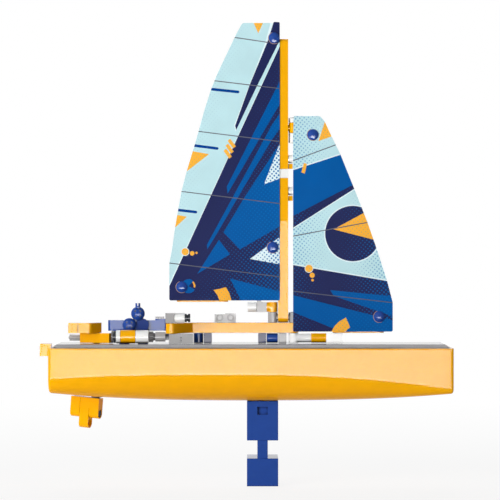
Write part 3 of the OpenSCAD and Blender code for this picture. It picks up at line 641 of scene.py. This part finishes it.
# Mainsail, from its foot's front corner up its front edge and back down its rear edge. The points
# and the printed shapes are places (x, z) in mm in the frame.
main_outline = rounded(
    [
        (13.35, 142.35), (13.35, 357.7), (8.9, 357.8), (8.2, 357.0), (-15.5, 357.0), (-20.3, 348.3),
        (-34.7, 318.0), (-39.6, 306.0), (-44.6, 290.4), (-51.3, 266.5), (-58.6, 242.3), (-62.7, 226.5),
        (-67.4, 200.0), (-69.9, 182.2), (-72.0, 171.4), (-72.1, 142.35),
    ],
    {0: 1.4, 1: 1.2, 2: 0.6, 4: 1.6, 14: 0.8, 15: 1.6},
)
edge_b = [(13.6, 339.4), (-19.0, 269.0), (-72.6, 152.2)]
main_paint = [
    ("cyan", [(-80, 130), (20, 130), (20, 370), (-80, 370)]),
    ("light", [(14, 341), (-18.6, 271), (-72.8, 153.6), (-72.8, 151.6), (-18.4, 268), (14, 338)]),
    ("navy", edge_b + [(-80, 136), (20, 130), (20, 339.4)]),
    ("light", [(6.6, 358.5), (2.2, 342.0), (-22.0, 277.6), (-20.8, 273.0), (10.8, 341.0), (14, 347),
               (14, 358.5)]),
    ("navy", [(14, 358.5), (8.9, 358.5), (3.9, 342.4), (-9.8, 309.4), (-21.1, 277.6), (-20.3, 274.2),
              (-3.9, 308.9), (12.2, 341.2), (14, 343)]),
    ("blue", [(14, 313.3), (-27.6, 230.3), (-27.0, 224.9), (3.8, 278.1), (14, 295.2)]),
    ("blue", [(14, 288.0), (7.3, 278.1), (-22.8, 222.6), (-43.0, 185.4), (-42.7, 181.9), (-34.4, 195.4),
              (-18.7, 222.6), (6.7, 265.9), (14, 276.3)]),
    ("blue", [(14, 264.5), (-2.0, 240.3), (-14.2, 221.7), (-30.2, 195.0), (-17.4, 181.9), (14, 200.0)]),
    ("dotted", [(14, 265.5), (1.2, 232.2), (14, 236.8)]),
    ("dotted", [(14, 191.9), (-9.7, 174.5), (14, 170.2)]),
    ("blue", [(-33.7, 189.3), (-25.1, 178.0), (-50.4, 163.0)]),
    ("blue", [(-25.1, 159.4), (14, 149.2), (14, 140), (-15.4, 140)]),
    ("orange", [(-37.9, 150.5), (-33.0, 151.4), (-28.3, 152.7), (-25.7, 148.2), (-23.2, 140.0),
                (-32.3, 140.0), (-34.9, 146.6)]),
    ("blue", sector(-57.1, 153.4, 0, 5.5, 48, 180)),
    ("blue", sector(-57.1, 153.4, 0, 5.5, 180, 332)),
    ("orange", sector(-57.6, 153.4, 4.4, 5.6, -12, 42)),
    ("light", disc(-59.8, 180.0, 3.2)),
    ("orange", disc(-59.8, 180.0, 2.75)),
    ("orange", disc(-54.4, 178.8, 1.8, 20)),
    ("orange", disc(-51.0, 179.2, 0.95, 14)),
    ("orange", [(-54.3, 257.9), (-41.4, 255.5), (-60.6, 240.6)]),
    ("orange", [(-65.8, 208.5), (-58.4, 207.2), (-68.4, 198.0)]),
    ("orange", [(-7.4, 358.5), (1.1, 358.5), (-3.3, 348.9)]),
    ("blue_ink", bar((-39.0, 305.7), (-18.9, 303.6), 2.1)),
    ("blue_ink", bar((-52.9, 262.2), (-35.0, 259.9), 2.1)),
    ("blue_ink", bar((-64.8, 212.3), (-51.5, 210.7), 2.1)),
    ("orange", bar((-26.0, 266.6), (-21.6, 260.8), 2.6, False)),
    ("orange", bar((-27.6, 262.8), (-23.2, 256.8), 2.6, False)),
    ("orange", bar((-29.1, 258.9), (-24.7, 252.8), 2.6, False)),
]
main_seams = [
    ((-25, 346.3), (4.6, 341.9)),
    ((-45, 313.2), (14, 306.2)),
    ((-55, 273.8), (14, 265.2)),
    ((-70, 227.6), (14, 217.2)),
    ((-80, 172.3), (14, 160.6)),
]

jib_outline = rounded(
    [
        (23.65, 118.35), (100.65, 118.35), (100.65, 141.0), (96.2, 157.8), (88.7, 181.0), (81.0, 203.1),
        (70.8, 229.0), (60.4, 254.9), (53.1, 269.8), (48.0, 280.9), (44.4, 284.9),
        (24.2, 284.9), (23.65, 270.0),
    ],
    {0: 0.9, 1: 1.4, 2: 1.0, 10: 1.2, 11: 0.8},
)
jib_paint = [
    ("jib_cyan", [(10, 110), (110, 110), (110, 300), (10, 300)]),
    ("light", [(20, 242.8), (63, 257.0), (63, 255.5), (20, 241.3)]),
    ("jib_blue", [(20, 241.9), (64, 256.2), (75, 231), (20, 204)]),
    ("light", [(20, 198.5), (20, 195.4), (73, 229.0), (73, 231.4)]),
    ("jib_navy", [(20, 205.8), (69.0, 231.3), (75, 234.4), (75, 231.3), (20, 196.3)]),
    ("light", disc(69.8, 194.1, 22.3, 48)),
    ("jib_navy", disc(69.8, 194.1, 21.4, 48)),
    ("orange", [(54.9, 197.4), (84.0, 213.1), (92.0, 187.8)]),
    ("light", [(20, 171.3), (100, 157.9), (100, 156.5), (20, 169.9)]),
    ("jib_navy", [(20, 170.4), (100, 156.8), (110, 100), (10, 100)]),
    ("jib_blue", [(20, 147.4), (110, 124.8), (110, 110), (51.5, 110), (54.4, 120.9), (20, 134.9)]),
    ("jib_blue", [(52.3, 150.4), (110, 144.8), (110, 126.9), (55.2, 145.8)]),
    ("orange", [(64.4, 129.2), (67.7, 121.8), (61.0, 115.6), (51.6, 115.6), (55.8, 122.7), (59.4, 126.3)]),
    ("light", disc(35.9, 167.1, 3.3)),
    ("orange", disc(35.9, 167.1, 2.9)),
    ("orange", disc(38.4, 161.9, 2.0, 20)),
    ("orange", disc(38.7, 158.1, 1.05, 14)),
    ("orange", [(49.0, 283.0), (54.0, 269.4), (43.2, 265.5)]),
    ("orange", [(32.0, 248.7), (34.3, 247.9), (32.6, 240.4), (30.0, 241.4)]),
]
jib_seams = [
    ((20, 249.1), (60, 263.9)),
    ((20, 191.5), (85, 203.4)),
    ((20, 150.0), (105, 140.2)),
]

film_thick = (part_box("main_sail")[1].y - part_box("main_sail")[0].y) / MM


def plane_of(node):
    low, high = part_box(node)
    return (low.y + high.y) / 2 / MM


def centre_of(node):
    low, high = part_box(node)
    return ((low.x + high.x) / 2 / MM, (low.z + high.z) / 2 / MM)


# Radius in mm of the round heads that hold the film
HEAD_R = 4.3
luff_low, luff_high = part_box("luff_heads")
main_heads = [
    (luff_low.x / MM + HEAD_R, luff_low.z / MM + HEAD_R),
    (luff_high.x / MM - HEAD_R, luff_high.z / MM - HEAD_R),
    centre_of("main_clew_head"),
]
jib_low, jib_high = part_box("jib_heads")
jib_heads = [
    (jib_low.x / MM + HEAD_R, jib_high.z / MM - HEAD_R),
    (jib_high.x / MM - HEAD_R, jib_low.z / MM + HEAD_R),
]
for paint, heads in ((main_paint, main_heads), (jib_paint, jib_heads)):
    for head in heads:
        ring = sector(head[0], head[1], HEAD_R - 0.6, HEAD_R + 0.45, 110, 300, 16)
        paint.append(("ring", ring))

# Between these places the mainsail has a column of points every fold_step mm
fold_from, fold_to, fold_step = 3.4, -6.4, 0.98
fold_columns = [fold_to + k * fold_step for k in range(-1, 12)]
MAIN_BELLY = 0.7
JIB_BELLY = 0.6
main_sail, main_flat, main_area = make_sail(
    "mainsail_film", main_outline, main_paint, main_seams, main_heads,
    plane_of("main_sail"), film_thick, MAIN_BELLY, fold_columns,
)
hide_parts("main_sail", "main_luff_strip")
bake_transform(main_sail)

jib_sail, jib_flat, jib_area = make_sail(
    "jib_film", jib_outline, jib_paint, jib_seams, jib_heads, plane_of("jib_sail"), film_thick, JIB_BELLY,
)
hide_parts("jib_sail")
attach(jib_sail, "jib_boom")


# ---------------------------------------------------------------- floor, light and camera


def background_rays(graph_tree):
    """1 for rays that show the background: from the camera, or seen in gloss or through glass."""
    path = graph_tree.nodes.new("ShaderNodeLightPath")
    total = path.outputs["Is Camera Ray"]
    for name in ("Is Glossy Ray", "Is Transmission Ray"):
        more = graph_tree.nodes.new("ShaderNodeMath")
        more.operation = "MAXIMUM"
        graph_tree.links.new(total, more.inputs[0])
        graph_tree.links.new(path.outputs[name], more.inputs[1])
        total = more.outputs[0]
    return total


def make_floor():
    """A pale floor just under the keel that turns into the white background further out."""
    size = 6.0
    corners = [(-size, -size, 0), (size, -size, 0), (size, size, 0), (-size, size, 0)]
    mesh = bpy.data.meshes.new("floor")
    mesh.from_pydata(corners, [], [(0, 1, 2, 3)])
    obj = bpy.data.objects.new("floor", mesh)
    obj.location.z = -0.2 * MM
    bpy.context.scene.collection.objects.link(obj)
    g = Graph("floor_paper", "ShaderNodeMixShader")
    diffuse = g.tree.nodes.new("ShaderNodeBsdfDiffuse")
    grain = g.noise(g.coords(), 60, 3.0)
    g.put(diffuse.inputs["Color"], g.mix(grain, (0.86, 0.86, 0.86, 1), (0.9, 0.9, 0.9, 1)))
    glow = g.tree.nodes.new("ShaderNodeEmission")
    glow.inputs["Color"].default_value = (1, 1, 1, 1)
    glow.inputs["Strength"].default_value = 1.0
    reach = g.vector("LENGTH", g.coords())
    far = g.spread(reach, 0.25, 1.1, NEAR_WHITE, FAR_WHITE)
    g.put(g.shader.inputs[0], g.math("MULTIPLY", far, background_rays(g.tree)))
    g.link(diffuse.outputs[0], g.shader.inputs[1])
    g.link(glow.outputs[0], g.shader.inputs[2])
    mesh.materials.append(g.material)


# Level of the floor's own white near the object and far from it
NEAR_WHITE = 0.86
FAR_WHITE = 1.0


def area_light(name, place, aim, size, power, in_gloss=True, in_diffuse=True, spread=180):
    data = bpy.data.lights.new(name, "AREA")
    data.shape = "RECTANGLE"
    data.size, data.size_y = size
    data.energy = power
    data.spread = math.radians(spread)
    obj = bpy.data.objects.new(name, data)
    obj.location = place
    obj.rotation_euler = (Vector(aim) - Vector(place)).to_track_quat("-Z", "Y").to_euler()
    obj.visible_camera = False
    obj.visible_diffuse = in_diffuse
    obj.visible_glossy = in_gloss
    bpy.context.scene.collection.objects.link(obj)


def make_world():
    """Weak even light on the object, and plain white where the surroundings are seen."""
    world = bpy.data.worlds.new("studio")
    bpy.context.scene.world = world
    world.use_nodes = True
    tree = world.node_tree
    tree.nodes.clear()
    out = tree.nodes.new("ShaderNodeOutputWorld")
    mix = tree.nodes.new("ShaderNodeMixShader")
    tree.links.new(background_rays(tree), mix.inputs[0])
    for place, strength in ((1, 0.2), (2, 1.0)):
        glow = tree.nodes.new("ShaderNodeBackground")
        glow.inputs["Color"].default_value = (1, 1, 1, 1)
        glow.inputs["Strength"].default_value = strength
        tree.links.new(glow.outputs[0], mix.inputs[place])
    tree.links.new(mix.outputs[0], out.inputs[0])


def make_camera():
    """Level view from the starboard side, square to the hull."""
    data = bpy.data.cameras.new("camera")
    data.sensor_width = 36
    data.lens = 185.76
    data.clip_start, data.clip_end = 0.05, 30
    obj = bpy.data.objects.new("camera", data)
    obj.location = (-9.65 * MM, -2.0, 181.4 * MM)
    obj.rotation_euler = (math.radians(90), 0, 0)
    bpy.context.scene.collection.objects.link(obj)
    bpy.context.scene.camera = obj


make_floor()
make_world()
make_camera()
middle = (-0.01, 0.0, 0.16)
# The soft box leans back and its spread is limited, so that it shows in faces turned to the front
# and not as glare on the tops when they are seen from behind
lean = math.radians(40)
box_at = Vector((-0.02, -0.215, 0.1355))
box_aim = box_at + Vector((0, math.cos(lean), math.sin(lean)))
area_light("soft_box", box_at, box_aim, (0.44, 0.187), 7.2, in_diffuse=False, spread=100)
area_light("key", (-1.6, -1.9, 0.95), middle, (1.2, 1.2), 22.0)
area_light("low", (-1.3, -1.9, 0.25), middle, (1.6, 0.45), 28.0, in_gloss=False)
area_light("back", (-0.2, 1.9, 1.6), middle, (1.4, 1.4), 28.0)

scene = bpy.context.scene
scene.view_settings.view_transform = "Standard"
